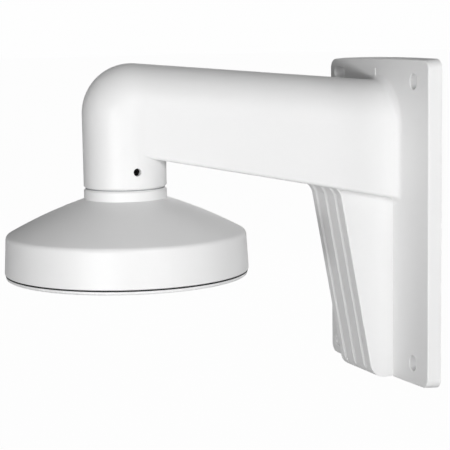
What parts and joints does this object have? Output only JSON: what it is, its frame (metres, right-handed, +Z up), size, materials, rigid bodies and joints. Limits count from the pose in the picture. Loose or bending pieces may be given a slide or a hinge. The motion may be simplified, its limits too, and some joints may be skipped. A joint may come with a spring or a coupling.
{
  "type": "camera wall bracket",
  "caption": "Hollow cast wall bracket: a plate with a rounded arm and fluted gusset, turning down into a neck that carries a round hood with a closing plate for a dome camera.",
  "frame": {"origin": "middle of the wall plate's back, on the wall", "axes": "+Y into the wall, so that the arm reaches along -Y; +Z up; +X is the side with the upright slots and the grub screw"},
  "size_m": [0.1299, 0.226, 0.1824],
  "materials": {
    "powder_coat": "white satin powder coat on die-cast aluminium",
    "plate_coat": "white satin powder coat on turned aluminium",
    "seal_rubber": "matt black moulded rubber",
    "screw_steel": "plain stainless steel",
    "black_steel": "black oxide on hardened steel"
  },
  "bodies": {
    "root": {"bracket_casting": "powder_coat", "hood_casting": "powder_coat", "camera_plate": "plate_coat", "rim_seal": "seal_rubber", "neck_seal": "seal_rubber", "plate_screws": "screw_steel", "grub_screw": "black_steel"}
  },
  "joints": []
}
